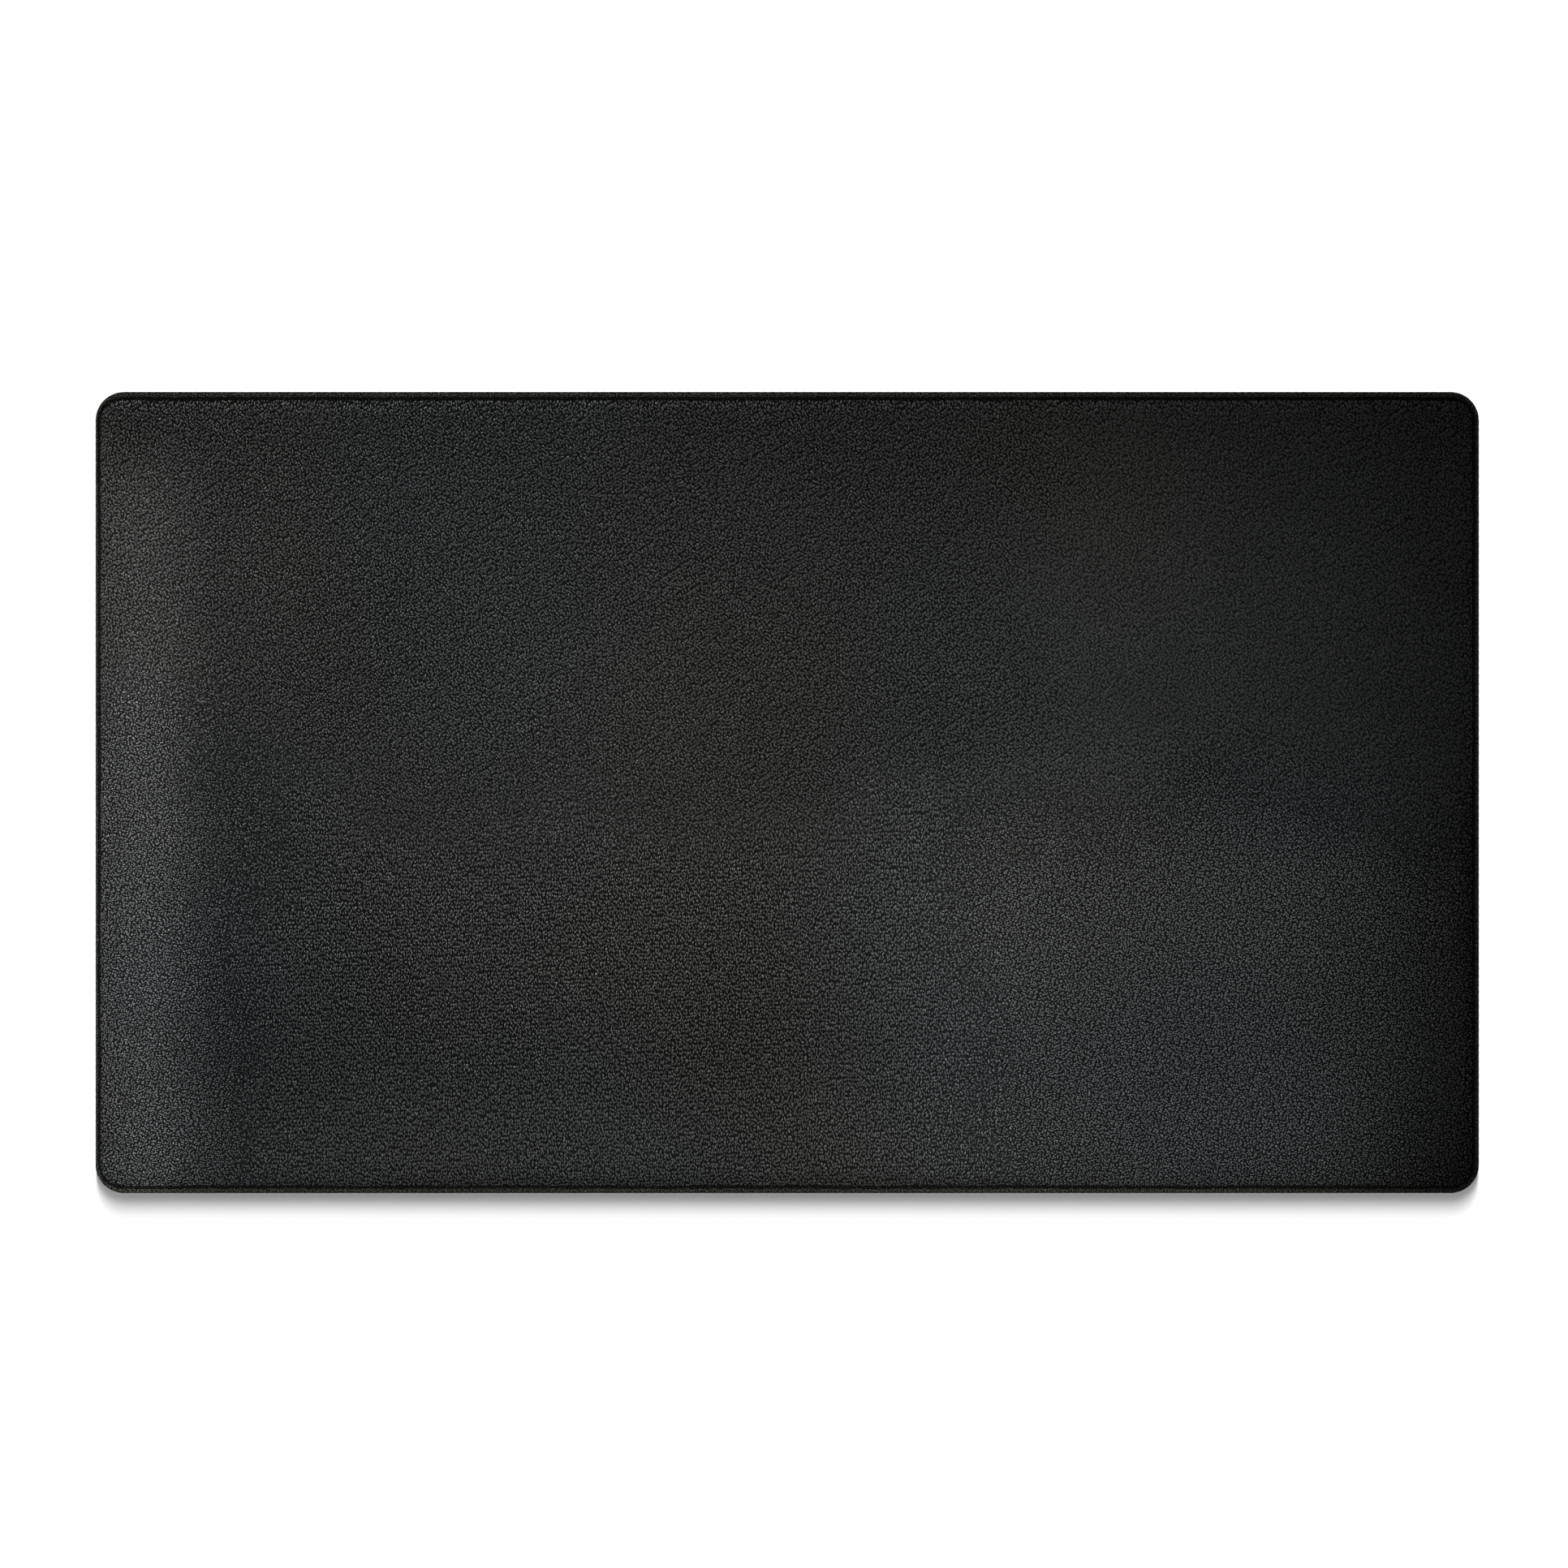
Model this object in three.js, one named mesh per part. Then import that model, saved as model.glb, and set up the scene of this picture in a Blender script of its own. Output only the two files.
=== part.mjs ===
// A padded leather desk mat. A thin leather cover lies over a soft core, is turned round
// the edge and hemmed on the underside, and a suede backing panel covers the hem. One
// lockstitched seam runs all round, close to the edge: its needle thread lies in a groove
// in the cover, and its bobbin thread lies in a groove in the backing.
//
// Millimetres. The origin is at the middle of the underside, +X runs along the length,
// +Y points to the back edge (away from the person at the desk), and +Z is up.
import * as THREE from "three";

// Overall size
const LENGTH = 600;
const WIDTH = 347.5;
const CORNER_RADIUS = 12.35;
const CORNER_STEPS = 8;

// Layers, from the desk upwards. The hem is pared thinner than the cover it belongs to.
const BACKING_THICKNESS = 0.8;
const CORE_THICKNESS = 1.6;
const COVER_THICKNESS = 0.9;
const HEM_THICKNESS = 0.6;
const HEM_WIDTH = 11;
const BACKING_INSET = 0.7;
const LAYER_GAP = 0.05;

// Seam: how far the stitch line lies inside each edge, and the groove it is pulled into
const SEAM = { left: 1.6, right: 2.2, front: 2.6, back: 3.0 };
const GROOVE_DEPTH = 0.3;
const GROOVE_HALF_WIDTH = 0.3;
const GROOVE_WALL = 0.25;
const COVER_AT_SEAM = 0.75;

// Thread: wider than it is high, because the stitches are pulled tight
const THREAD_WIDTH = 0.4;
const THREAD_HEIGHT = 0.25;
const THREAD_SIDES = 8;
const THREAD_GAP = 0.05;
const BACKING_GROOVE_DEPTH = 0.32;
const BACKING_GROOVE_HALF_WIDTH = 0.3;

// Lip: the folded edge outside the seam
const LIP_HEIGHT = 1.7;
const FOLD_RADIUS = LIP_HEIGHT / 2;
const FOLD_STEPS = 6;
const FOLD_INSIDE = 1.0;

// The padded field rolls down to the seam over this width
const ROLL_OFF_WIDTH = 7;
const ROLL_OFF_STEPS = 6;
const CORE_SETBACK = 1.0;

// Heights that follow from the layers
const HEM_TOP = BACKING_THICKNESS + HEM_THICKNESS;
const FIELD_TOP = BACKING_THICKNESS + CORE_THICKNESS + COVER_THICKNESS;
const LIP_TOP = BACKING_THICKNESS + LIP_HEIGHT;
const LIP_INSIDE = LIP_TOP - COVER_THICKNESS;
const GROOVE_FLOOR = LIP_TOP - GROOVE_DEPTH;
const SEAM_INSIDE = GROOVE_FLOOR - COVER_AT_SEAM;

// A rounded rectangle set in from each edge of the mat, as one closed ring of points.
function ring(inset, z) {
  const x0 = -LENGTH / 2 + inset.left;
  const x1 = LENGTH / 2 - inset.right;
  const y0 = -WIDTH / 2 + inset.front;
  const y1 = WIDTH / 2 - inset.back;
  const meanInset = (inset.left + inset.right + inset.front + inset.back) / 4;
  const radius = CORNER_RADIUS - meanInset;
  const centres = [
    [x1 - radius, y1 - radius],
    [x0 + radius, y1 - radius],
    [x0 + radius, y0 + radius],
    [x1 - radius, y0 + radius],
  ];
  const points = [];
  centres.forEach(([cx, cy], corner) => {
    for (let step = 0; step <= CORNER_STEPS; step++) {
      const angle = (Math.PI / 2) * (corner + step / CORNER_STEPS);
      const x = cx + radius * Math.cos(angle);
      const y = cy + radius * Math.sin(angle);
      points.push(new THREE.Vector3(x, y, z));
    }
  });
  return points;
}

// A ring the same distance inside every edge of the mat.
function edgeRing(inset, z) {
  return ring({ left: inset, right: inset, front: inset, back: inset }, z);
}

// A ring that runs beside the stitch line, this far inside it.
function seamRing(inwards, z) {
  const inset = {};
  for (const side of Object.keys(SEAM)) {
    inset[side] = SEAM[side] + inwards;
  }
  return ring(inset, z);
}

// Skins one ring to the next.
function joinRings(triangles, first, second) {
  const count = first.length;
  for (let i = 0; i < count; i++) {
    const next = (i + 1) % count;
    triangles.push(first[i], second[i], second[next]);
    triangles.push(first[i], second[next], first[next]);
  }
}

// Closes a ring with a flat face that looks up or down.
function capRing(triangles, points, up) {
  const flat = points.map((p) => new THREE.Vector2(p.x, p.y));
  for (const [a, b, c] of THREE.ShapeUtils.triangulateShape(flat, [])) {
    const face = [points[a], points[b], points[c]];
    triangles.push(...(up ? face : face.reverse()));
  }
}

function geometryOf(triangles) {
  const geometry = new THREE.BufferGeometry().setFromPoints(triangles);
  geometry.computeVertexNormals();
  return geometry;
}

// A solid of stacked rings. The first ring bounds the face that looks up, the rings run
// outwards and round the edge, and the last ring bounds the face that looks down.
function cappedSolid(rings) {
  const triangles = [];
  capRing(triangles, rings[0], true);
  for (let i = 0; i + 1 < rings.length; i++) {
    joinRings(triangles, rings[i], rings[i + 1]);
  }
  capRing(triangles, rings[rings.length - 1], false);
  return geometryOf(triangles);
}

// A closed loop of even section, such as a thread: the last ring joins the first.
function loopSolid(rings) {
  const triangles = [];
  rings.forEach((points, i) => {
    joinRings(triangles, points, rings[(i + 1) % rings.length]);
  });
  return geometryOf(triangles);
}

// Stations across the padded field's edge, from the field out to the groove. The outside
// rises steeply from the groove and runs out level, and the cover keeps its thickness.
function rollOffStations() {
  const stations = [];
  for (let step = ROLL_OFF_STEPS; step > 0; step--) {
    const share = (step / ROLL_OFF_STEPS) ** 1.5;
    const rise = Math.sqrt(1 - (1 - share) ** 2);
    const outside = GROOVE_FLOOR + (FIELD_TOP - GROOVE_FLOOR) * rise;
    stations.push({
      inwards: GROOVE_HALF_WIDTH + (ROLL_OFF_WIDTH - GROOVE_HALF_WIDTH) * share,
      outside,
      inside: Math.max(outside - COVER_THICKNESS, SEAM_INSIDE),
    });
  }
  return stations;
}

// Outside of the cover: the field's edge, the groove, the lip and the fold round it.
function coverOutside() {
  const rings = rollOffStations().map((s) => seamRing(s.inwards, s.outside));
  rings.push(seamRing(GROOVE_HALF_WIDTH, GROOVE_FLOOR));
  rings.push(seamRing(-GROOVE_HALF_WIDTH, GROOVE_FLOOR));
  rings.push(seamRing(-GROOVE_HALF_WIDTH - GROOVE_WALL, LIP_TOP - LAYER_GAP));
  for (let step = 0; step <= FOLD_STEPS; step++) {
    const angle = Math.PI * (0.5 - step / FOLD_STEPS);
    const inset = FOLD_RADIUS * (1 - Math.cos(angle));
    const height = FOLD_RADIUS * (1 + Math.sin(angle));
    rings.push(edgeRing(inset, BACKING_THICKNESS + height));
  }
  return rings;
}

// Inside of the cover, from the hem's free edge back to the middle of the field.
function coverInside() {
  return [
    edgeRing(HEM_WIDTH, BACKING_THICKNESS),
    edgeRing(HEM_WIDTH, HEM_TOP),
    edgeRing(FOLD_INSIDE, HEM_TOP),
    edgeRing(FOLD_INSIDE, LIP_INSIDE),
    seamRing(-GROOVE_HALF_WIDTH, SEAM_INSIDE),
    seamRing(GROOVE_HALF_WIDTH, SEAM_INSIDE),
    ...rollOffStations().reverse().map((s) => seamRing(s.inwards, s.inside)),
  ];
}

function topCover() {
  return cappedSolid([...coverOutside(), ...coverInside()]);
}

// The core: full thickness in the field, thinned towards the seam, rebated for the hem.
function padding() {
  const [field, ...slope] = rollOffStations();
  const covered = slope.filter((s) => s.inwards > CORE_SETBACK);
  return cappedSolid([
    seamRing(field.inwards, field.inside),
    ...covered.map((s) => seamRing(s.inwards, s.inside - LAYER_GAP)),
    seamRing(CORE_SETBACK, HEM_TOP + LAYER_GAP),
    seamRing(CORE_SETBACK, HEM_TOP),
    edgeRing(HEM_WIDTH + LAYER_GAP, HEM_TOP),
    edgeRing(HEM_WIDTH + LAYER_GAP, BACKING_THICKNESS),
  ]);
}

// The backing panel, with the bobbin thread's groove in its underside.
function backing() {
  return cappedSolid([
    edgeRing(BACKING_INSET, BACKING_THICKNESS),
    edgeRing(BACKING_INSET, 0),
    seamRing(-BACKING_GROOVE_HALF_WIDTH, 0),
    seamRing(-BACKING_GROOVE_HALF_WIDTH, BACKING_GROOVE_DEPTH),
    seamRing(BACKING_GROOVE_HALF_WIDTH, BACKING_GROOVE_DEPTH),
    seamRing(BACKING_GROOVE_HALF_WIDTH, 0),
  ]);
}

// A thread along the whole seam, lying at this height.
function seamThread(bottom) {
  const rings = [];
  for (let side = 0; side < THREAD_SIDES; side++) {
    const angle = (2 * Math.PI * (side + 0.5)) / THREAD_SIDES;
    const inwards = (THREAD_WIDTH / 2) * Math.cos(angle);
    const height = (THREAD_HEIGHT / 2) * (1 + Math.sin(angle));
    rings.push(seamRing(inwards, bottom + height));
  }
  return loopSolid(rings);
}

function part(name, geometry, color, roughness) {
  const material = new THREE.MeshStandardMaterial({ color, roughness, metalness: 0 });
  const mesh = new THREE.Mesh(geometry, material);
  mesh.name = name;
  return mesh;
}

const LEATHER_BLACK = 0x17181a;
const FELT_GREY = 0x3a3a3c;
const SUEDE_BLACK = 0x1d1d1f;
const THREAD_BLACK = 0x0c0c0c;

const deskMat = new THREE.Group();
deskMat.add(
  part("top_cover", topCover(), LEATHER_BLACK, 0.5),
  part("padding", padding(), FELT_GREY, 0.95),
  part("backing", backing(), SUEDE_BLACK, 0.95),
  part("needle_thread", seamThread(GROOVE_FLOOR + THREAD_GAP), THREAD_BLACK, 0.6),
  part("bobbin_thread", seamThread(THREAD_GAP), THREAD_BLACK, 0.6),
);

export default deskMat;
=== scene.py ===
"""A padded leather desk mat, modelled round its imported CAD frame.

The cover is one folded sheet: padded field, roll-off, stitch groove, lip, fold and hem.
The core, the backing panel and the two threads of the lockstitched seam are pieces of
their own. Lengths are in metres, in the mat's own frame: +X along its length, +Y to its
back edge and +Z up.
"""

import math
from collections import namedtuple

import bpy
import numpy as np
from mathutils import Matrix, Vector
from mathutils.geometry import delaunay_2d_cdt


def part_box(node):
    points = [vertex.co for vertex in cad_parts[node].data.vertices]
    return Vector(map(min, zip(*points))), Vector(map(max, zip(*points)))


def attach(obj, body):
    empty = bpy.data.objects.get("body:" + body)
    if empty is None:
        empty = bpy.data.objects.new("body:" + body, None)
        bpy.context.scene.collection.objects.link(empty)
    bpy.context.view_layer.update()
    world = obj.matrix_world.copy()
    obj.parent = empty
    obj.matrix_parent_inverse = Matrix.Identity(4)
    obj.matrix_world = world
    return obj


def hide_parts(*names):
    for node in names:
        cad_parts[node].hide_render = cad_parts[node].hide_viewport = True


MM = 0.001

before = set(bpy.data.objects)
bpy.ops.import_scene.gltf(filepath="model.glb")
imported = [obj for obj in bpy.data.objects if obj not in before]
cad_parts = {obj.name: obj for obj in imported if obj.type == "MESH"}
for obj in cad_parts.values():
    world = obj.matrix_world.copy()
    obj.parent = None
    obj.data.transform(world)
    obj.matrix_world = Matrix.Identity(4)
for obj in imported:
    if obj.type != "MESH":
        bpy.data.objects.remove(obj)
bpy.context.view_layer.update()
cover_low, cover_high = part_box("top_cover")
backing_low, backing_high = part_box("backing")
core_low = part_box("padding")[0]
needle_low, needle_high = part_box("needle_thread")

# Seam: the stitch line's distance inside the right, back, left and front edges
THREAD_WIDTH = 0.4 * MM
STITCH = 3.34 * MM
SEAM_INSETS = [
    cover_high.x - needle_high.x + THREAD_WIDTH / 2,
    cover_high.y - needle_high.y + THREAD_WIDTH / 2,
    needle_low.x - cover_low.x + THREAD_WIDTH / 2,
    needle_low.y - cover_low.y + THREAD_WIDTH / 2,
]
MEAN_INSET = sum(SEAM_INSETS) / 4
CORNER_RADIUS = 12.35 * MM

# Heights
FIELD_TOP = cover_high.z
HEM_BOTTOM = cover_low.z
LIP_TOP = HEM_BOTTOM + 1.7 * MM
GROOVE_FLOOR = LIP_TOP - 0.42 * MM
HEM_TOP = HEM_BOTTOM + 0.6 * MM
COVER_THICKNESS = 0.9 * MM
FIELD_INSIDE = FIELD_TOP - COVER_THICKNESS
SEAM_INSIDE = GROOVE_FLOOR - 0.6 * MM

# Widths across the edge
ROLL_OFF = 7 * MM
GROOVE_HALF = 0.34 * MM
FOLD_RADIUS = (LIP_TOP - HEM_BOTTOM) / 2
FOLD_INSIDE = 1.0 * MM
HEM_WIDTH = 11 * MM
BACKING_INSET = backing_low.x - cover_low.x

Stations = namedtuple("Stations", "centre outward inset phase hole corner along")


# ---------------------------------------------------------------- places along the seam

# The sewing wanders by about a tenth of a millimetre: height, count round the mat, shift.
SEAM_WANDER = [(0.08 * MM, 17, 0.13), (0.05 * MM, 41, 0.58), (0.03 * MM, 97, 0.31)]


def smooth(share):
    """Eases a share from 0 to 1 in and out."""
    share = np.clip(share, 0, 1)
    return share * share * (3 - 2 * share)


def waves(turn, terms):
    """A sum of sines round the mat, where turn runs from 0 to 1: (height, count, shift)."""
    return sum(h * np.sin(2 * np.pi * (n * turn + shift)) for h, n, shift in terms)


def seam_stations(phases):
    """The places at these shares of every stitch, counterclockwise from the right side."""
    half_x = cover_high.x - CORNER_RADIUS
    half_y = cover_high.y - CORNER_RADIUS
    arc = (CORNER_RADIUS - MEAN_INSET) * math.pi / 2
    corners = np.array([(1, 1), (-1, 1), (-1, -1), (1, -1)]) * (half_x, half_y)
    sides = [2 * half_y, 2 * half_x] * 2
    length = sum(sides) + 4 * arc
    stitches = round(length / STITCH)
    position = (np.arange(stitches)[:, None] + np.asarray(phases)[None, :]).ravel()
    along = position * length / stitches

    centre = np.zeros((len(along), 2))
    angle = np.zeros(len(along))
    inset = np.zeros(len(along))
    corner = np.zeros(len(along))
    start = 0.0
    for k in range(4):
        share = (along - start) / sides[k]
        on = (share >= 0) & (share < 1)
        centre[on] = corners[k - 1] + (corners[k] - corners[k - 1]) * share[on, None]
        angle[on] = k
        inset[on] = SEAM_INSETS[k]
        start += sides[k]
        share = (along - start) / arc
        on = (share >= 0) & (share < 1)
        centre[on] = corners[k]
        angle[on] = k + share[on]
        ease = smooth(share[on])
        inset[on] = SEAM_INSETS[k] * (1 - ease) + SEAM_INSETS[(k + 1) % 4] * ease
        corner[on] = np.sin(np.pi * share[on])
        start += arc
    inset += waves(along / length, SEAM_WANDER)
    outward = np.stack([np.cos(angle * np.pi / 2), np.sin(angle * np.pi / 2)], axis=1)
    hole = np.round(position).astype(int) % stitches
    return Stations(centre, outward, inset, position % 1, hole, corner, along / length)


def every(places, step):
    """Every step-th of some stations."""
    return Stations(*(values[::step] for values in places))


def ring(places, depth, height):
    """Points at this depth inside the outline and this height, one for each station."""
    reach = CORNER_RADIUS - np.broadcast_to(depth, len(places.inset))
    xy = places.centre + places.outward * reach[:, None]
    z = np.broadcast_to(height, len(xy))
    return np.column_stack([xy, z])


# ---------------------------------------------------------------- mesh building


class Skin:
    """Collects rings of points, the faces between them, and the caps that close them."""

    def __init__(self):
        self.points = []
        self.faces = []
        self.marks = []

    def add(self, points, dull_and_painted_shade=0.0, lip=0.0):
        """Adds points with their shares of dull with painted shade and of lip with painted light,
        and returns their numbers.
        """
        start = len(self.points)
        self.points.extend(map(tuple, points))
        marks = np.zeros((len(points), 2)) + np.column_stack(np.broadcast_arrays(dull_and_painted_shade, lip))
        self.marks.extend(map(tuple, marks))
        return list(range(start, len(self.points)))

    def join(self, first, second):
        """Faces from one ring to the next, whose count may be half or double the first's."""
        if len(first) == len(second):
            for a, b, c, d in zip(first, second, rolled(second), rolled(first)):
                self.faces.append((a, b, c, d))
        elif len(first) == 2 * len(second):
            for a, middle, b, c, d in zip(
                first[::2], first[1::2], second, rolled(second), rolled(first[::2])
            ):
                self.faces += [(a, b, middle), (middle, b, c), (middle, c, d)]
        else:
            for a, d, b, middle, c in zip(
                first, rolled(first), second[::2], second[1::2], rolled(second[::2])
            ):
                self.faces += [(a, b, middle), (a, middle, d), (d, middle, c)]

    def join_all(self, rings, marks=None):
        """Adds the rings in order, joined, and returns the first's and last's points."""
        marks = marks or [(0.0, 0.0)] * len(rings)
        added = [self.add(points, *mark) for points, mark in zip(rings, marks)]
        for first, second in zip(added, added[1:]):
            self.join(first, second)
        return added[0], added[-1]

    def cap(self, rim, spacing, height, up):
        """Closes a rim with triangles over a grid of points at height(x, y)."""
        edge = np.array([self.points[i] for i in rim])[:, :2]
        low, high = edge.min(0) + spacing, edge.max(0) - spacing
        counts = np.ceil((high - low) / spacing).astype(int) + 1
        xs = np.linspace(low[0], high[0], counts[0])
        ys = np.linspace(low[1], high[1], counts[1])
        inner = np.stack(np.meshgrid(xs, ys, indexing="ij"), axis=-1).reshape(-1, 2)
        flat = [Vector(p) for p in np.concatenate([edge, inner])]
        found = delaunay_2d_cdt(flat, [], [list(range(len(rim)))], 1, 1e-7)
        made = self.add(np.column_stack([inner, height(inner[:, 0], inner[:, 1])]))
        index = rim + made
        names = [index[sources[0]] for sources in found[3]]
        for face in found[2]:
            corners = [names[i] for i in face]
            self.faces.append(tuple(corners if up else corners[::-1]))

    def build(self, name, sharp_angle):
        mesh = bpy.data.meshes.new(name)
        mesh.from_pydata(self.points, [], self.faces)
        for i, kind in enumerate(("dull_and_painted_shade", "lip")):
            layer = mesh.attributes.new(kind, "FLOAT", "POINT")
            layer.data.foreach_set("value", [mark[i] for mark in self.marks])
        mesh.validate()
        mesh.shade_smooth()
        mesh.set_sharp_from_angle(angle=math.radians(sharp_angle))
        piece = bpy.data.objects.new(name, mesh)
        bpy.context.scene.collection.objects.link(piece)
        return piece


def rolled(items):
    """The items again, starting from the second."""
    return items[1:] + items[:1]


def at_height(z):
    """A flat height function for a cap."""
    return lambda x, y: np.full(len(x), z)


# ---------------------------------------------------------------- cover

FIELD_STATIONS = 15
FIELD_CELL = 6 * MM
# The share of the roll-off's height that is the groove's steep inner wall
WALL_SHARE = 0.36
# The width of the roll-off varies a little round the mat: share, count, shift.
ROLL_OFF_WAVES = [(0.10, 23, 0.2), (0.08, 61, 0.7)]
# Rings across the groove, as shares of its half width, from its field side to its lip side
GROOVE_ACROSS = (0.8, 0.4, 0.0, -0.4, -0.8)
GROOVE_BOWL = 0.22 * MM
# How far the stitches pull down the roll-off, the groove's floor and the lip
ROLL_OFF_PUCKER = 0.14 * MM
GROOVE_PUCKER = 0.08 * MM
LIP_PUCKER = 0.05 * MM
# The field's slight unevenness: height, wavelength and direction of each wave
LOBE_WAVES = [
    (0.035 * MM, 210 * MM, 0.4),
    (0.030 * MM, 150 * MM, 1.9),
    (0.020 * MM, 96 * MM, 1.2),
    (0.014 * MM, 71 * MM, 2.6),
    (0.010 * MM, 52 * MM, 0.1),
]


def unevenness(x, y):
    """How far the padded field stands off flat."""
    total = 0
    for i, (height, wavelength, direction) in enumerate(LOBE_WAVES):
        run = x * math.cos(direction) + y * math.sin(direction)
        total = total + height * np.sin(2 * np.pi * run / wavelength + 1.7 * i)
    return total


def field_height(x, y):
    return FIELD_TOP + unevenness(x, y)


def stitch_strength(places, seed, spread):
    """How hard each stitch pulls: 1 on average, the same all round a needle hole."""
    strength = np.random.default_rng(seed).normal(1, spread, places.hole.max() + 1)
    return strength[places.hole].clip(0.4, 1.8)


def pucker(places, inwards, reach):
    """The pull of the needle holes at this distance from the seam, from 0 to 1."""
    pull = (0.5 + 0.5 * np.cos(2 * np.pi * places.phase)) * stitch_strength(places, 3, 0.25)
    return pull * math.exp(-((inwards / reach) ** 2))


def roll_off_ring(places, share):
    """The cover's outside where it runs down from the field to the stitch groove."""
    width = ROLL_OFF * (1 + waves(places.along, ROLL_OFF_WAVES))
    inwards = GROOVE_HALF + (width - GROOVE_HALF) * share
    depth = places.inset + inwards
    rise = WALL_SHARE + (1 - WALL_SHARE) * math.sin(share * math.pi / 2)
    points = ring(places, depth, GROOVE_FLOOR + (FIELD_TOP - GROOVE_FLOOR) * rise)
    points[:, 2] += unevenness(points[:, 0], points[:, 1]) * share
    points[:, 2] -= ROLL_OFF_PUCKER * pucker(places, float(inwards.mean()), 1.6 * MM)
    return points


def groove_rings(places):
    """The stitch groove, deepest at the needle holes."""
    rings = []
    for across in GROOVE_ACROSS:
        bowl = GROOVE_BOWL * across**2
        sink = GROOVE_PUCKER * pucker(places, across * GROOVE_HALF, 0.4 * MM)
        rings.append(ring(places, places.inset + across * GROOVE_HALF, GROOVE_FLOOR + bowl - sink))
    return rings


def lip_rings(places):
    """The lip outside the groove, up to where the fold begins."""
    rings = []
    crown = LIP_TOP - LIP_PUCKER * pucker(places, 0, 1)
    start = places.inset - GROOVE_HALF
    for share, height in ((0.0, -0.16 * MM), (0.25, -0.04 * MM), (0.6, 0.0)):
        depth = start + (FOLD_RADIUS - start) * share
        rings.append(ring(places, depth, crown + height))
    return rings


def fold_rings(places):
    """Round the edge, from the top of the lip to the hem's underside."""
    rings = []
    steps = 9
    scallop = 0.03 * MM * np.cos(2 * np.pi * places.phase)
    gather = 0.09 * MM * places.corner * (0.5 + 0.5 * np.cos(2 * np.pi * places.phase / 2))
    for step in range(steps + 1):
        angle = math.pi * (0.5 - step / steps)
        below = max(0.0, -math.sin(angle))
        depth = FOLD_RADIUS * (1 - math.cos(angle)) + (scallop + gather * below) * math.cos(angle)
        height = HEM_BOTTOM + FOLD_RADIUS * (1 + math.sin(angle)) + gather * below
        rings.append(ring(places, depth, height))
    return rings


def hem_and_inside_rings(places):
    """Under the edge to the hem's cut edge, back along its top, and up inside the cover."""
    half = every(places, 2)
    few = every(places, 4)
    rings = [
        ring(half, FOLD_RADIUS + 1.5 * MM, HEM_BOTTOM),
        ring(few, FOLD_RADIUS + 4 * MM, HEM_BOTTOM),
        ring(few, HEM_WIDTH, HEM_BOTTOM),
        ring(few, HEM_WIDTH, HEM_TOP),
        ring(few, FOLD_INSIDE, HEM_TOP),
        ring(few, FOLD_INSIDE, LIP_TOP - COVER_THICKNESS),
        ring(few, few.inset - GROOVE_HALF, SEAM_INSIDE),
        ring(few, few.inset + GROOVE_HALF, SEAM_INSIDE),
    ]
    for share in (0.1, 0.25, 0.5, 0.75, 1.0):
        outside = roll_off_ring(few, share)
        outside[:, 2] = np.maximum(outside[:, 2] - COVER_THICKNESS, SEAM_INSIDE)
        rings.append(outside)
    return rings


def cover_marks(places, roll_offs, folds, others):
    """Each ring's shares of dull with painted shade, in the groove and under the edge, and of lip
    with painted light, outside it.
    """
    # The dull mark also paints shade: black along the middle of each stitch, lighter at its needle
    # holes, and down the groove's inner wall and under the fold.
    stitch_shade = 1 - 0.9 * (0.5 + 0.5 * np.cos(2 * np.pi * places.phase)) ** 2
    marks = [(0.0, 0.0)] * (roll_offs - 3) + [(0.2, 0.0), (0.8, 0.0), (1.0, 0.0)]
    marks += [(stitch_shade, 0.5)] * len(GROOVE_ACROSS)
    marks += [(1.0, 1.0), (0.3, 1.0), (0.0, 1.0)]
    marks += [(min(1.0, (step / 3) ** 3), 1.0) for step in range(folds)]
    return marks + [(1.0, 1.0)] * others


def make_cover():
    places = seam_stations([0, 0.25, 0.5, 0.75])
    shares = [(step / FIELD_STATIONS) ** 1.7 for step in range(FIELD_STATIONS, 0, -1)]
    rings = [roll_off_ring(every(places, 4), shares[0])]
    rings.append(roll_off_ring(every(places, 2), shares[1]))
    rings += [roll_off_ring(places, share) for share in shares[2:]]
    rings += groove_rings(places) + lip_rings(places)
    folds, others = fold_rings(places), hem_and_inside_rings(places)
    skin = Skin()
    marks = cover_marks(places, len(shares), len(folds), len(others))
    field_rim, inside_rim = skin.join_all(rings + folds + others, marks)
    skin.cap(field_rim, FIELD_CELL, field_height, up=True)
    skin.cap(inside_rim, 3 * FIELD_CELL, at_height(FIELD_INSIDE), up=False)
    return skin.build("desk_mat_cover", 60)


# ---------------------------------------------------------------- core and backing


def make_core():
    """The felt core: thinned towards the seam, with a rebate for the hem under it."""
    places = seam_stations([0])
    gap = 0.06 * MM
    rings = []
    for share in (1.0, 0.75, 0.5, 0.35, 0.25):
        outside = roll_off_ring(places, share)
        outside[:, 2] = np.maximum(outside[:, 2] - COVER_THICKNESS, SEAM_INSIDE) - gap
        rings.append(outside)
    setback = places.inset + 1.0 * MM
    rings += [
        ring(places, setback, HEM_TOP + 0.12 * MM),
        ring(places, setback, HEM_TOP + 0.02 * MM),
        ring(places, HEM_WIDTH + gap, HEM_TOP + 0.02 * MM),
        ring(places, HEM_WIDTH + 2 * gap, core_low.z),
    ]
    skin = Skin()
    top_rim, bottom_rim = skin.join_all(rings)
    skin.cap(top_rim, 2 * FIELD_CELL, at_height(FIELD_INSIDE - gap), up=True)
    skin.cap(bottom_rim, 3 * FIELD_CELL, at_height(core_low.z), up=False)
    return skin.build("desk_mat_core", 50)


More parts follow.
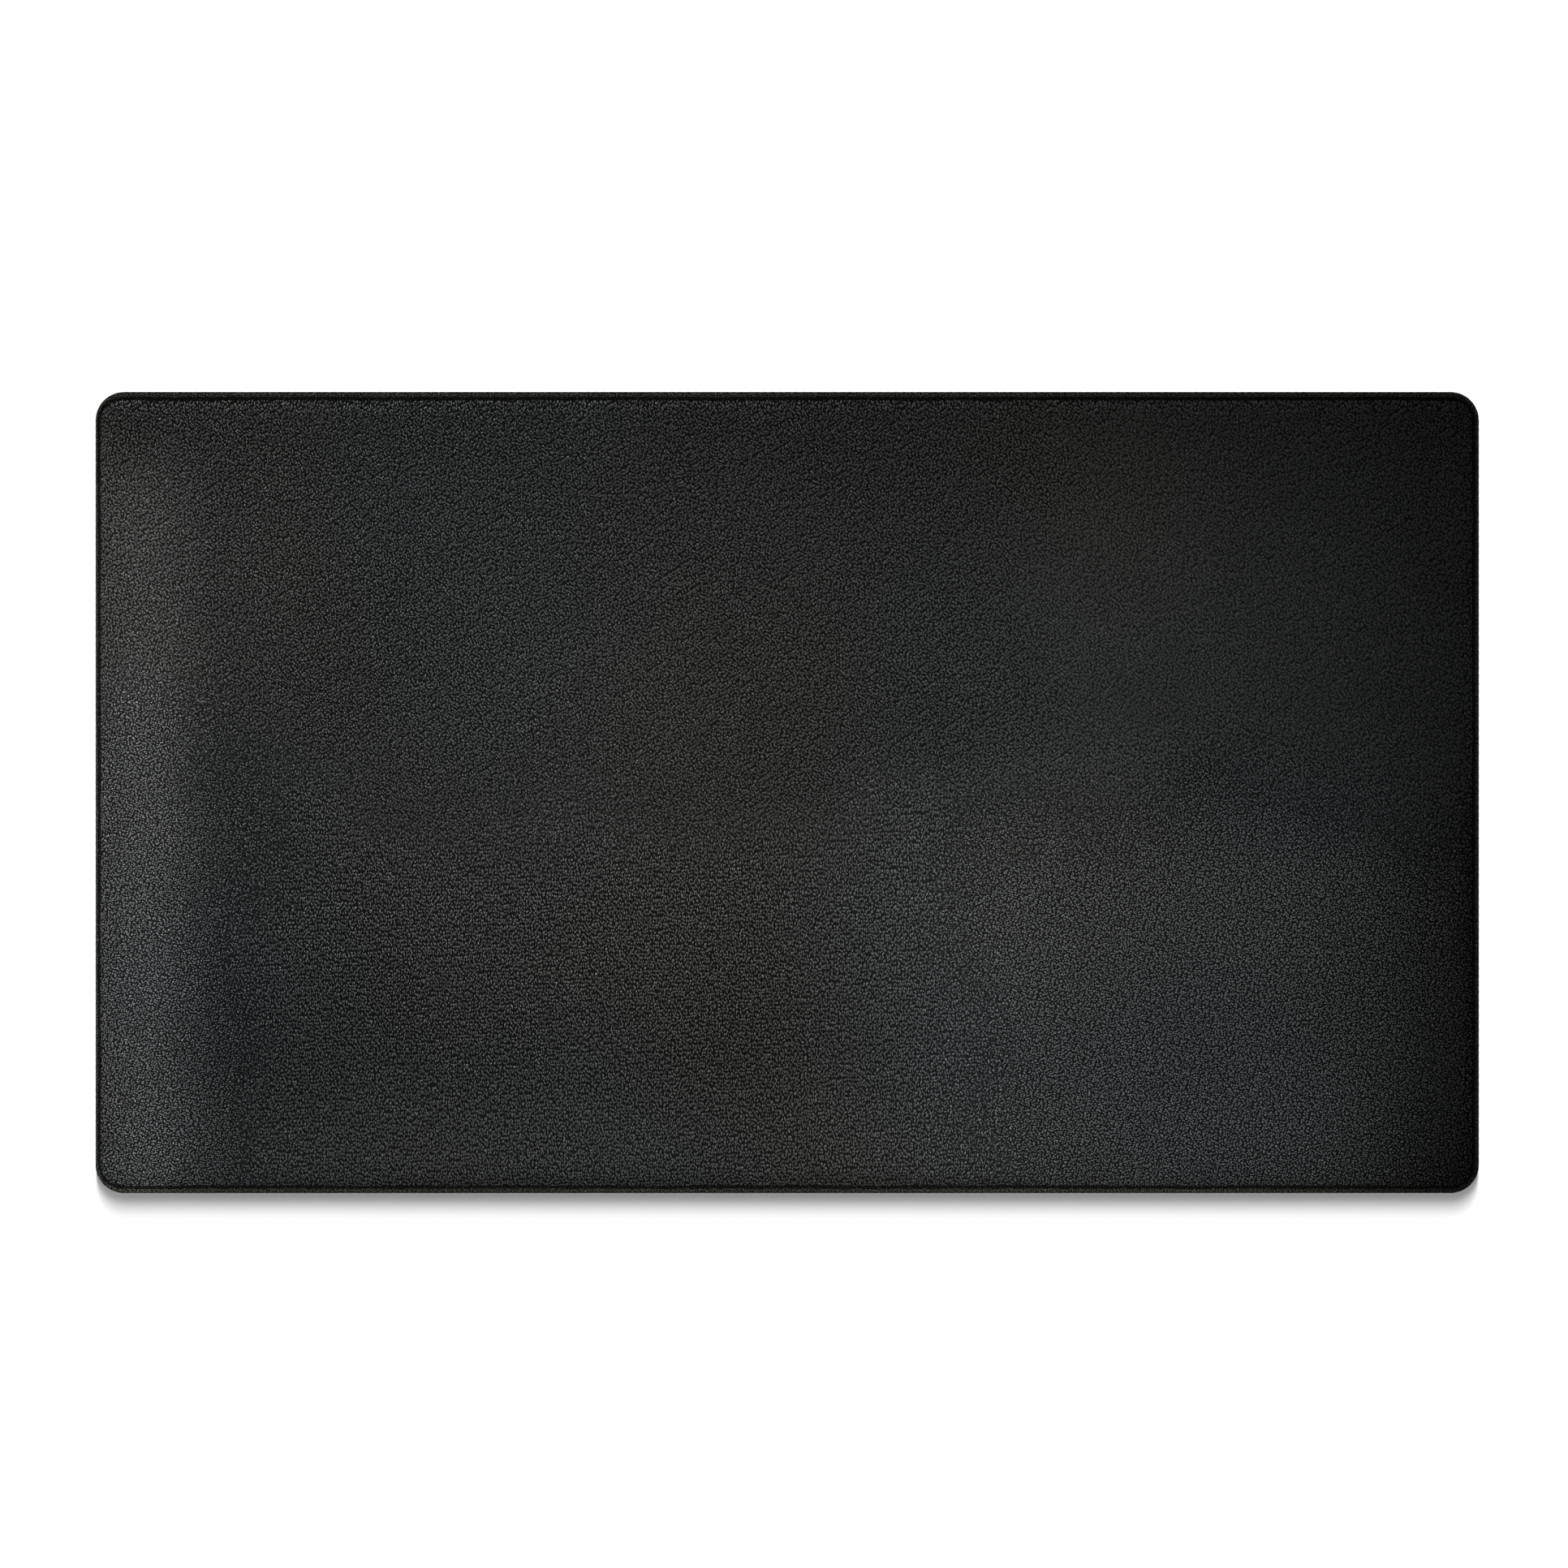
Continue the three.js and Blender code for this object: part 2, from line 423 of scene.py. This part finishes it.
# The bobbin thread's groove: distance inside the seam line, and height above the panel's face
BACKING_GROOVE = [
    (-0.36 * MM, 0.07 * MM),
    (-0.26 * MM, 0.24 * MM),
    (0.0, 0.30 * MM),
    (0.26 * MM, 0.24 * MM),
    (0.42 * MM, 0.10 * MM),
    (0.9 * MM, 0.05 * MM),
    (1.8 * MM, 0.015 * MM),
]


def backing_rings(places):
    """The backing panel's edge and the groove that the bobbin thread is pulled into."""
    edge = BACKING_INSET + 0.02 * MM * np.cos(2 * np.pi * places.phase)
    top = backing_high.z
    rings = [
        ring(places, edge + 0.08 * MM, top),
        ring(places, edge, top - 0.1 * MM),
        ring(places, edge, backing_low.z + 0.22 * MM),
        ring(places, edge + 0.06 * MM, backing_low.z + 0.1 * MM),
        ring(places, edge + 0.2 * MM, backing_low.z + 0.05 * MM),
    ]
    for inwards, height in BACKING_GROOVE:
        sink = 0.12 * MM * pucker(places, inwards, 0.5 * MM)
        rings.append(ring(places, places.inset + inwards, backing_low.z + height + sink))
    return rings


def make_backing():
    places = seam_stations([0, 0.25, 0.5, 0.75])
    rings = backing_rings(places)
    half, few = every(places, 2), every(places, 4)
    rings.append(ring(half, half.inset + 3.5 * MM, backing_low.z))
    rings.append(ring(few, few.inset + 6 * MM, backing_low.z))
    rings.insert(0, ring(half, BACKING_INSET + 1.5 * MM, backing_high.z))
    rings.insert(0, ring(few, BACKING_INSET + 4 * MM, backing_high.z))
    skin = Skin()
    top_rim, bottom_rim = skin.join_all(rings)
    skin.cap(top_rim, 3 * FIELD_CELL, at_height(backing_high.z), up=True)
    skin.cap(bottom_rim, 2 * FIELD_CELL, at_height(backing_low.z), up=False)
    return skin.build("desk_mat_backing", 60)


# ---------------------------------------------------------------- threads

THREAD_SIDES = 8
STITCH_STEPS = 14
THREAD_RADII = (0.20 * MM, 0.15 * MM)


def stitch_phases():
    """Places along a stitch, closer together near the needle holes."""
    return [0.5 - 0.5 * math.cos(math.pi * i / STITCH_STEPS) for i in range(STITCH_STEPS)]


def make_thread(name, laid, sunk, lean):
    """A closed run of stitches: each lies at height laid and dives to sunk at its holes."""
    places = seam_stations(stitch_phases())
    over = 1 - np.abs(2 * places.phase - 1) ** 6
    height = sunk + (laid - sunk) * over
    tension = 0.02 * MM * (stitch_strength(places, 5, 0.3) - 1) * over
    depth = places.inset + lean * (places.phase - 0.5) * over
    path = ring(places, depth, height + tension)
    ahead = np.roll(path, -1, axis=0) - np.roll(path, 1, axis=0)
    ahead /= np.linalg.norm(ahead, axis=1)[:, None]
    side = np.column_stack([places.outward, np.zeros(len(path))])
    side -= ahead * (side * ahead).sum(1)[:, None]
    side /= np.linalg.norm(side, axis=1)[:, None]
    up = np.cross(side, ahead)
    rings = []
    for i in range(THREAD_SIDES):
        angle = 2 * math.pi * i / THREAD_SIDES
        across, raised = THREAD_RADII[0] * math.cos(angle), THREAD_RADII[1] * math.sin(angle)
        rings.append(path + side * across + up * raised)
    skin = Skin()
    added = [skin.add(points) for points in rings]
    for first, second in zip(added, added[1:] + added[:1]):
        skin.join(second, first)
    thread = skin.build(name, 180)
    lay_thread_uv(thread, len(path))
    return thread


def lay_thread_uv(thread, count):
    """UV: how far round the thread, and how far along it in stitches."""
    layer = thread.data.uv_layers.new(name="thread")
    for face in thread.data.polygons:
        corners = [thread.data.loops[i].vertex_index for i in face.loop_indices]
        rounds = [i // count for i in corners]
        steps = [i % count for i in corners]
        wraps_round = max(rounds) - min(rounds) > 1
        wraps_along = max(steps) - min(steps) > 1
        for loop, a, b in zip(face.loop_indices, rounds, steps):
            u = a + THREAD_SIDES if wraps_round and a == 0 else a
            v = b + count if wraps_along and b == 0 else b
            layer.data[loop].uv = (u / THREAD_SIDES, v / STITCH_STEPS)


# ---------------------------------------------------------------- shader helpers


class Tree:
    """A short way to write a node tree: values and other nodes' outputs feed inputs."""

    def __init__(self, node_tree):
        self.nodes = node_tree.nodes
        self.links = node_tree.links

    def add(self, kind, inputs=None, **settings):
        node = self.nodes.new("ShaderNode" + kind)
        for name, value in settings.items():
            setattr(node, name, value)
        for name, value in (inputs or {}).items():
            if isinstance(value, bpy.types.NodeSocket):
                self.links.new(value, node.inputs[name])
            else:
                node.inputs[name].default_value = value
        return node

    def math(self, operation, a, b=0.0):
        return self.add("Math", {0: a, 1: b}, operation=operation).outputs[0]

    def mix(self, share, a, b):
        return self.add("Mix", {0: share, 2: a, 3: b}).outputs[0]

    def mix_colour(self, share, a, b, blend="MIX"):
        node = self.add("Mix", {0: share, 6: a, 7: b}, data_type="RGBA", blend_type=blend)
        return node.outputs[2]

    def vector(self, operation, a, b):
        return self.add("VectorMath", {0: a, 1: b}, operation=operation).outputs[0]

    def noise(self, vector, scale, detail=2.0, rough=0.5):
        inputs = {"Vector": vector, "Scale": scale, "Detail": detail, "Roughness": rough}
        return self.add("TexNoise", inputs)

    def ramp(self, value, low, high, to_low=0.0, to_high=1.0):
        """Maps low..high smoothly to to_low..to_high."""
        inputs = {0: value, 1: low, 2: high, 3: to_low, 4: to_high}
        return self.add("MapRange", inputs, interpolation_type="SMOOTHSTEP").outputs[0]


def new_material(name):
    """A node material: its tree and its Principled shader."""
    material = bpy.data.materials.new(name)
    material.use_nodes = True
    shader = material.node_tree.nodes["Principled BSDF"]
    return material, Tree(material.node_tree), shader


# ---------------------------------------------------------------- leather

GRAIN_PITCH = 1.0 * MM
# The grain's middle value, which stays put where its contrast is raised or lowered
GRAIN_MEAN = 0.5
GRAIN_BUMP = 0.24 * MM
DYE_COOL = (0.0052, 0.0066, 0.0072, 1)
DYE_OLIVE = (0.0066, 0.0068, 0.0050, 1)
# Painted light: the lip, tilted towards the lamps, is painted lighter and more olive than the field.
LIP_PAINTED_LIGHT = (0.012, 0.0138, 0.0076, 1)
# Painted shade: near black in the stitch groove and under the edge.
PAINTED_SHADE_BLACK = (0.0015, 0.0015, 0.0013, 1)


def pebbles(tree, plane, pitch, stretch):
    """Rounded pebbles that stand apart, drawn out along X, some higher than others."""
    cells = tree.vector("MULTIPLY", plane, (1 / (pitch * stretch), 1 / pitch, 1.0))
    inputs = {"Vector": cells, "Scale": 1.0, "Randomness": 0.8}
    found = tree.add("TexVoronoi", inputs, voronoi_dimensions="2D")
    dome = tree.ramp(found.outputs["Distance"], 0.62, 0.0)
    chance = tree.add("SeparateXYZ", {0: found.outputs["Color"]}).outputs[0]
    return tree.math("MULTIPLY", dome, tree.ramp(chance, 0.2, 1.0, 0.72, 1.0))


def wrinkles(tree, plane, pitch, stretch):
    """Fine wrinkles that run along X."""
    ripples = tree.vector("MULTIPLY", plane, (2 / (pitch * stretch), 2 / pitch, 1.0))
    inputs = {"Vector": ripples, "Scale": 1.0, "Detail": 0.5}
    found = tree.add("TexNoise", inputs, noise_dimensions="2D")
    return tree.ramp(found.outputs[0], 0.30, 0.70)


def grain_along(tree, plane, angle, pitch, stretch, wrinkled):
    """Pebbles and wrinkles that lie along one direction."""
    turned = tree.add("VectorRotate", {"Vector": plane, "Angle": angle}, rotation_type="Z_AXIS")
    raised = pebbles(tree, turned.outputs[0], pitch, stretch)
    lined = wrinkles(tree, turned.outputs[0], pitch, stretch * 1.3)
    return tree.mix(wrinkled, raised, lined)


def hide_plane(tree, place):
    """The mat's own place with the height folded in, so that the grain runs down its sides."""
    parts = tree.add("SeparateXYZ", {0: place}).outputs
    across = tree.math("ADD", parts[0], parts[2])
    along = tree.math("ADD", parts[1], parts[2])
    return tree.add("CombineXYZ", {0: across, 1: along}).outputs[0]


def grain_zones(tree, place):
    """Where the grain is upright, where round and where calm, with wandering borders."""
    broad = tree.noise(place, 9.0, 2.0).outputs["Color"]
    drift = tree.vector("SUBTRACT", broad, (0.5, 0.5, 0.5))
    moved = tree.vector("ADD", place, tree.vector("MULTIPLY", drift, (0.14,) * 3))
    where = tree.add("SeparateXYZ", {0: moved}).outputs
    upright = tree.ramp(where[1], 0.03, -0.05)
    not_upright = tree.math("SUBTRACT", 1.0, upright)
    calm = tree.math("MULTIPLY", tree.ramp(where[0], 0.04, 0.14), not_upright)
    far_left = tree.ramp(where[0], -0.20, -0.26)
    left_end = tree.math("MULTIPLY", far_left, tree.ramp(where[1], 0.10, 0.03))
    low_right = tree.math("MULTIPLY", tree.ramp(where[0], 0.04, 0.12), upright)
    return upright, tree.math("MAXIMUM", left_end, low_right), calm


def leather_grain(tree, place):
    """The grain's relief, and how strongly it shows, both from 0 in its creases to 1."""
    fine = tree.noise(place, 170.0, 2.0).outputs["Color"]
    sway = tree.vector("SUBTRACT", fine, (0.5, 0.5, 0.5))
    bent = tree.vector("ADD", place, tree.vector("MULTIPLY", sway, (1.0 * MM,) * 3))
    plane = hide_plane(tree, bent)
    diagonal = grain_along(tree, plane, math.radians(57), GRAIN_PITCH * 0.82, 1.7, 0.12)
    upright = grain_along(tree, plane, math.radians(88), GRAIN_PITCH * 0.82, 1.9, 0.12)
    round_ones = grain_along(tree, plane, 0.3, GRAIN_PITCH * 0.95, 1.15, 0.1)
    low_down, rounded, calm = grain_zones(tree, place)
    depth = tree.mix(rounded, tree.mix(calm, 1.0, 0.6), tree.mix(low_down, 1.5, 1.9))
    field = tree.mix(rounded, tree.mix(low_down, diagonal, upright), round_ones)
    folded = pebbles(tree, plane, GRAIN_PITCH * 0.75, 1.0)
    grain = tree.mix(marked(tree, "lip"), field, folded)
    stand = tree.math("SUBTRACT", grain, GRAIN_MEAN)
    shown = tree.math("ADD", GRAIN_MEAN, tree.math("MULTIPLY", stand, depth))
    return tree.math("MULTIPLY", grain, tree.mix(rounded, 1.0, 0.75)), shown


def marked(tree, kind):
    """How strongly the mesh is marked as dull with painted shade, or as lip with painted light,
    here.
    """
    return tree.add("Attribute", attribute_name=kind).outputs["Fac"]


def leather_material():
    material, tree, shader = new_material("pebbled_black_leather")
    place = tree.add("TexCoord").outputs["Object"]
    relief, grain = leather_grain(tree, place)
    dull_and_painted_shade, lip = marked(tree, "dull_and_painted_shade"), marked(tree, "lip")
    lumps = tree.noise(place, 420.0, 2.0).outputs[0]
    height = tree.math("ADD", relief, tree.math("MULTIPLY", lumps, 0.12))

    mottle = tree.noise(place, 14.0, 3.0).outputs[0]
    tint = tree.noise(tree.vector("ADD", place, (0.7, 0.2, 0.0)), 5.0, 1.0).outputs[0]
    dye_and_lip_light = tree.mix_colour(tree.ramp(tint, 0.40, 0.60), DYE_COOL, DYE_OLIVE)
    # Painted light on the lip: lighter and more olive than the field.
    dye_and_lip_light = tree.mix_colour(lip, dye_and_lip_light, LIP_PAINTED_LIGHT)
    worn = tree.mix_colour(tree.ramp(mottle, 0.3, 0.75), (0.75,) * 3 + (1,), (1.35,) * 3 + (1,))
    shade = tree.mix_colour(1.0, dye_and_lip_light, worn, "MULTIPLY")
    # Painted shade in the grain's creases, and its tops painted lighter.
    painted_crease_shade = tree.ramp(grain, 0.15, 0.80, 0.3, 1.3)
    painted_grain_shade = tree.add("CombineXYZ", {0: painted_crease_shade, 1: painted_crease_shade, 2: painted_crease_shade}).outputs[0]
    shade = tree.mix_colour(1.0, shade, painted_grain_shade, "MULTIPLY")
    # Painted shade: the groove and the underside of the edge are painted near black.
    shade = tree.mix_colour(dull_and_painted_shade, shade, PAINTED_SHADE_BLACK)
    tree.links.new(shade, shader.inputs["Base Color"])

    polish = tree.math("MULTIPLY", tree.math("SUBTRACT", mottle, 0.5), 0.12)
    rough = tree.math("ADD", tree.ramp(grain, 0.2, 0.9, 0.58, 0.34), polish)
    tree.links.new(tree.mix(dull_and_painted_shade, rough, 0.9), shader.inputs["Roughness"])
    shine = tree.ramp(grain, 0.15, 0.95, 0.04, 1.0)
    shader.inputs["Specular IOR Level"].default_value = 0.45
    tree.links.new(tree.mix(dull_and_painted_shade, shine, 0.0), shader.inputs["Specular IOR Level"])

    bump = tree.add("Bump", {"Height": height, "Distance": GRAIN_BUMP})
    tree.links.new(bump.outputs[0], shader.inputs["Normal"])
    return material


# ---------------------------------------------------------------- textiles


SUEDE_DARK = (0.013, 0.013, 0.014, 1)
SUEDE_PALE = (0.026, 0.026, 0.027, 1)
FELT_DARK = (0.03, 0.03, 0.033, 1)
FELT_PALE = (0.10, 0.10, 0.105, 1)
NEEDLE_BLACK = (0.004, 0.004, 0.0035)
BOBBIN_BLACK = (0.010, 0.010, 0.010)


def suede_material():
    """Microfibre suede: a short nap, brushed in broad strokes that are painted lighter and darker as
    painted sheen.
    """
    material, tree, shader = new_material("microfibre_suede")
    place = tree.add("TexCoord").outputs["Object"]
    strokes = tree.noise(tree.vector("MULTIPLY", place, (6.0, 22.0, 6.0)), 1.6, 3.0).outputs[0]
    fibres = tree.noise(tree.vector("MULTIPLY", place, (1.0, 0.55, 1.0)), 3400.0, 3.0).outputs[0]
    clumps = tree.noise(place, 620.0, 4.0, 0.65).outputs[0]
    # Painted sheen: the brushed strokes are painted lighter and darker.
    nap_and_painted_sheen = tree.mix_colour(tree.ramp(strokes, 0.35, 0.65), SUEDE_DARK, SUEDE_PALE)
    fleck = tree.ramp(clumps, 0.3, 0.7, 0.7, 1.35)
    flecks = tree.add("CombineXYZ", {0: fleck, 1: fleck, 2: fleck}).outputs[0]
    tree.links.new(tree.mix_colour(1.0, nap_and_painted_sheen, flecks, "MULTIPLY"), shader.inputs["Base Color"])
    tree.links.new(tree.ramp(strokes, 0.3, 0.7, 0.86, 0.98), shader.inputs["Roughness"])
    shader.inputs["Specular IOR Level"].default_value = 0.2
    shader.inputs["Sheen Weight"].default_value = 0.35
    shader.inputs["Sheen Roughness"].default_value = 0.45
    height = tree.math("ADD", tree.math("MULTIPLY", clumps, 0.6), tree.math("MULTIPLY", fibres, 0.5))
    bump = tree.add("Bump", {"Height": height, "Strength": 0.8, "Distance": 0.12 * MM})
    tree.links.new(bump.outputs[0], shader.inputs["Normal"])
    return material


def felt_material():
    """Needled felt: tangled fibres of mixed greys."""
    material, tree, shader = new_material("needled_felt")
    place = tree.add("TexCoord").outputs["Object"]
    tangle = tree.noise(place, 900.0, 5.0, 0.7).outputs[0]
    blend = tree.noise(place, 160.0, 3.0).outputs[0]
    shares = tree.math("ADD", tree.math("MULTIPLY", tangle, 0.6), tree.math("MULTIPLY", blend, 0.4))
    grey = tree.mix_colour(tree.ramp(shares, 0.35, 0.65), FELT_DARK, FELT_PALE)
    tree.links.new(grey, shader.inputs["Base Color"])
    tree.links.new(tree.ramp(tangle, 0.3, 0.7, 0.9, 1.0), shader.inputs["Roughness"])
    bump = tree.add("Bump", {"Height": tangle, "Strength": 1.0, "Distance": 0.25 * MM})
    tree.links.new(bump.outputs[0], shader.inputs["Normal"])
    return material


def thread_material(name, colour):
    """Bonded polyester: three plies twisted together, with a low gloss on their backs and painted
    shade between them.
    """
    material, tree, shader = new_material(name)
    along = tree.add("SeparateXYZ", {0: tree.add("UVMap", uv_map="thread").outputs[0]})
    turns = tree.math("ADD", tree.math("MULTIPLY", along.outputs[1], 4.0), along.outputs[0])
    plies = tree.math("SINE", tree.math("MULTIPLY", turns, 6 * math.pi))
    ply = tree.ramp(plies, -1.0, 0.6)
    # Painted shade in the grooves between the plies.
    ply_shade = tuple(0.35 * c for c in colour) + (1,)
    tree.links.new(tree.mix_colour(ply, ply_shade, colour + (1,)), shader.inputs["Base Color"])
    tree.links.new(tree.ramp(ply, 0.0, 1.0, 0.9, 0.65), shader.inputs["Roughness"])
    shader.inputs["Specular IOR Level"].default_value = 0.1
    bump = tree.add("Bump", {"Height": ply, "Strength": 1.0, "Distance": 0.06 * MM})
    tree.links.new(bump.outputs[0], shader.inputs["Normal"])
    return material


# ---------------------------------------------------------------- the mat


def finish_piece(piece, material, node):
    piece.data.materials.append(material)
    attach(piece, "root")
    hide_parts(node)
    return piece


def make_mat():
    cover = finish_piece(make_cover(), leather_material(), "top_cover")
    core = finish_piece(make_core(), felt_material(), "padding")
    backing = finish_piece(make_backing(), suede_material(), "backing")
    needle = make_thread(
        "desk_mat_needle_thread", GROOVE_FLOOR + 0.13 * MM, GROOVE_FLOOR - 0.55 * MM, 0.10 * MM
    )
    bobbin = make_thread(
        "desk_mat_bobbin_thread", backing_low.z + 0.18 * MM, backing_low.z + 0.95 * MM, -0.08 * MM
    )
    needle_look = thread_material("needle_thread", NEEDLE_BLACK)
    bobbin_look = thread_material("bobbin_thread", BOBBIN_BLACK)
    finish_piece(needle, needle_look, "needle_thread")
    finish_piece(bobbin, bobbin_look, "bobbin_thread")

    return [cover, core, backing, needle, bobbin]


# ---------------------------------------------------------------- studio


def make_floor():
    """A pale floor, far wider than any view of the mat."""
    half = 15.0
    mesh = bpy.data.meshes.new("studio_floor")
    corners = [(-half, -half, 0), (half, -half, 0), (half, half, 0), (-half, half, 0)]
    mesh.from_pydata(corners, [], [(0, 1, 2, 3)])
    floor = bpy.data.objects.new("studio_floor", mesh)
    bpy.context.scene.collection.objects.link(floor)
    material, tree, shader = new_material("pale_floor")
    shader.inputs["Base Color"].default_value = (0.86, 0.86, 0.86, 1)
    shader.inputs["Roughness"].default_value = 0.9
    shader.inputs["Specular IOR Level"].default_value = 0.1
    mesh.materials.append(material)
    return floor


def make_world():
    """A studio that is dim overhead, and pale towards the horizon but for its right side."""
    world = bpy.data.worlds.new("studio")
    bpy.context.scene.world = world
    world.use_nodes = True
    tree = Tree(world.node_tree)
    background = world.node_tree.nodes["Background"]
    towards = tree.add("SeparateXYZ", {0: tree.add("TexCoord").outputs["Generated"]}).outputs
    pale = tree.ramp(towards[2], 0.1, 0.6, 1.0, 0.06)
    side = tree.ramp(towards[0], 0.7, -0.3, 0.5, 1.0)
    background.inputs["Color"].default_value = (1, 1, 1, 1)
    tree.links.new(tree.math("MULTIPLY", pale, side), background.inputs["Strength"])


def only_light(lamp, objects):
    """Restricts a lamp to these objects."""
    group = bpy.data.collections.new("lit_by_" + lamp.name)
    for item in objects:
        group.objects.link(item)
    lamp.light_linking.receiver_collection = group


# A tall soft panel behind the mat, as bands one above the other, which give its short
# shadow. Their strength halves every KEY_HALVING degrees upwards. One more band fills in
# from straight above. Elevations, halving and width are in degrees.
KEY_ELEVATIONS = range(12, 43, 5)
KEY_STRENGTH = 4.2
KEY_HALVING = 6
BAND_WIDTH = 8
OVERHEAD = 90
OVERHEAD_STRENGTH = 0.75


def key_strength(elevation):
    """The strength of the key's band at this elevation."""
    return KEY_STRENGTH * 0.5 ** ((elevation - KEY_ELEVATIONS[0]) / KEY_HALVING)


def make_sun(elevation, strength, floor):
    """One band of light, from behind the mat or above it, that reaches only the floor."""
    data = bpy.data.lights.new(f"key_band_{elevation}", "SUN")
    data.energy = strength
    data.angle = math.radians(BAND_WIDTH)
    sun = bpy.data.objects.new(data.name, data)
    sun.rotation_euler = (math.radians(elevation - 90), 0, 0)
    bpy.context.scene.collection.objects.link(sun)
    only_light(sun, [floor])


WHITE = (1.0, 1.0, 1.0)
COOL = (0.85, 0.93, 1.0)

Panel = namedtuple("Panel", "name target size height lean spread glow colour")

# Each panel: the middle of its pool of light on the mat, its own size and its height above
# the mat (mm), how far it stands off to the right and the back of that middle (mm), the
# spread of its beam (degrees), its power for each square metre of panel and its colour.
PANELS = [
    Panel("left_strip", (-282, -20), (36, 320), 350, (0, 0), 8, 4.0, WHITE),
    Panel("left_glow", (-260, 0), (60, 300), 500, (0, 0), 18, 2.0, COOL),
    Panel("left_key", (-100, 0), (300, 300), 900, (-900, 500), 30, 10.0, WHITE),
    Panel("middle", (-20, -10), (340, 300), 800, (0, 0), 24, 2.0, WHITE),
    Panel("front_right", (150, -85), (230, 150), 600, (0, 0), 12, 2.5, COOL),
    Panel("back_right", (170, 60), (200, 160), 700, (0, 0), 16, 1.0, WHITE),
    Panel("front_edge", (-20, -160), (540, 30), 500, (0, -110), 10, 2.5, WHITE),
]


def make_panel(panel):
    """A soft panel with a narrow beam, unseen by the camera."""
    data = bpy.data.lights.new(panel.name, "AREA")
    data.shape = "RECTANGLE"
    data.size, data.size_y = [side * MM for side in panel.size]
    data.energy = panel.glow * data.size * data.size_y
    data.color = panel.colour
    data.spread = math.radians(panel.spread)
    lamp = bpy.data.objects.new(panel.name, data)
    target = Vector((*panel.target, 0)) * MM + Vector((0, 0, FIELD_TOP))
    lamp.location = target + Vector((*panel.lean, panel.height)) * MM
    lamp.rotation_euler = (lamp.location - target).to_track_quat("Z", "Y").to_euler()
    lamp.visible_camera = False
    bpy.context.scene.collection.objects.link(lamp)
    return lamp


def make_camera():
    """Straight above the mat and a little off its middle, with a long lens."""
    view_width = 679.9 * MM
    sensor = 36.0
    data = bpy.data.cameras.new("camera")
    data.sensor_width = sensor
    data.lens = 120.0
    distance = data.lens * view_width / sensor
    data.clip_end = 100.0
    camera = bpy.data.objects.new("camera", data)
    camera.location = (-1.4 * MM, 3.7 * MM, LIP_TOP + distance)
    bpy.context.scene.collection.objects.link(camera)
    bpy.context.scene.camera = camera


def make_studio(pieces):
    floor = make_floor()
    make_world()
    for elevation in KEY_ELEVATIONS:
        make_sun(elevation, key_strength(elevation), floor)
    make_sun(OVERHEAD, OVERHEAD_STRENGTH, floor)
    for panel in PANELS:
        only_light(make_panel(panel), pieces)
    make_camera()
    bpy.context.scene.view_settings.view_transform = "Standard"


make_studio(make_mat())
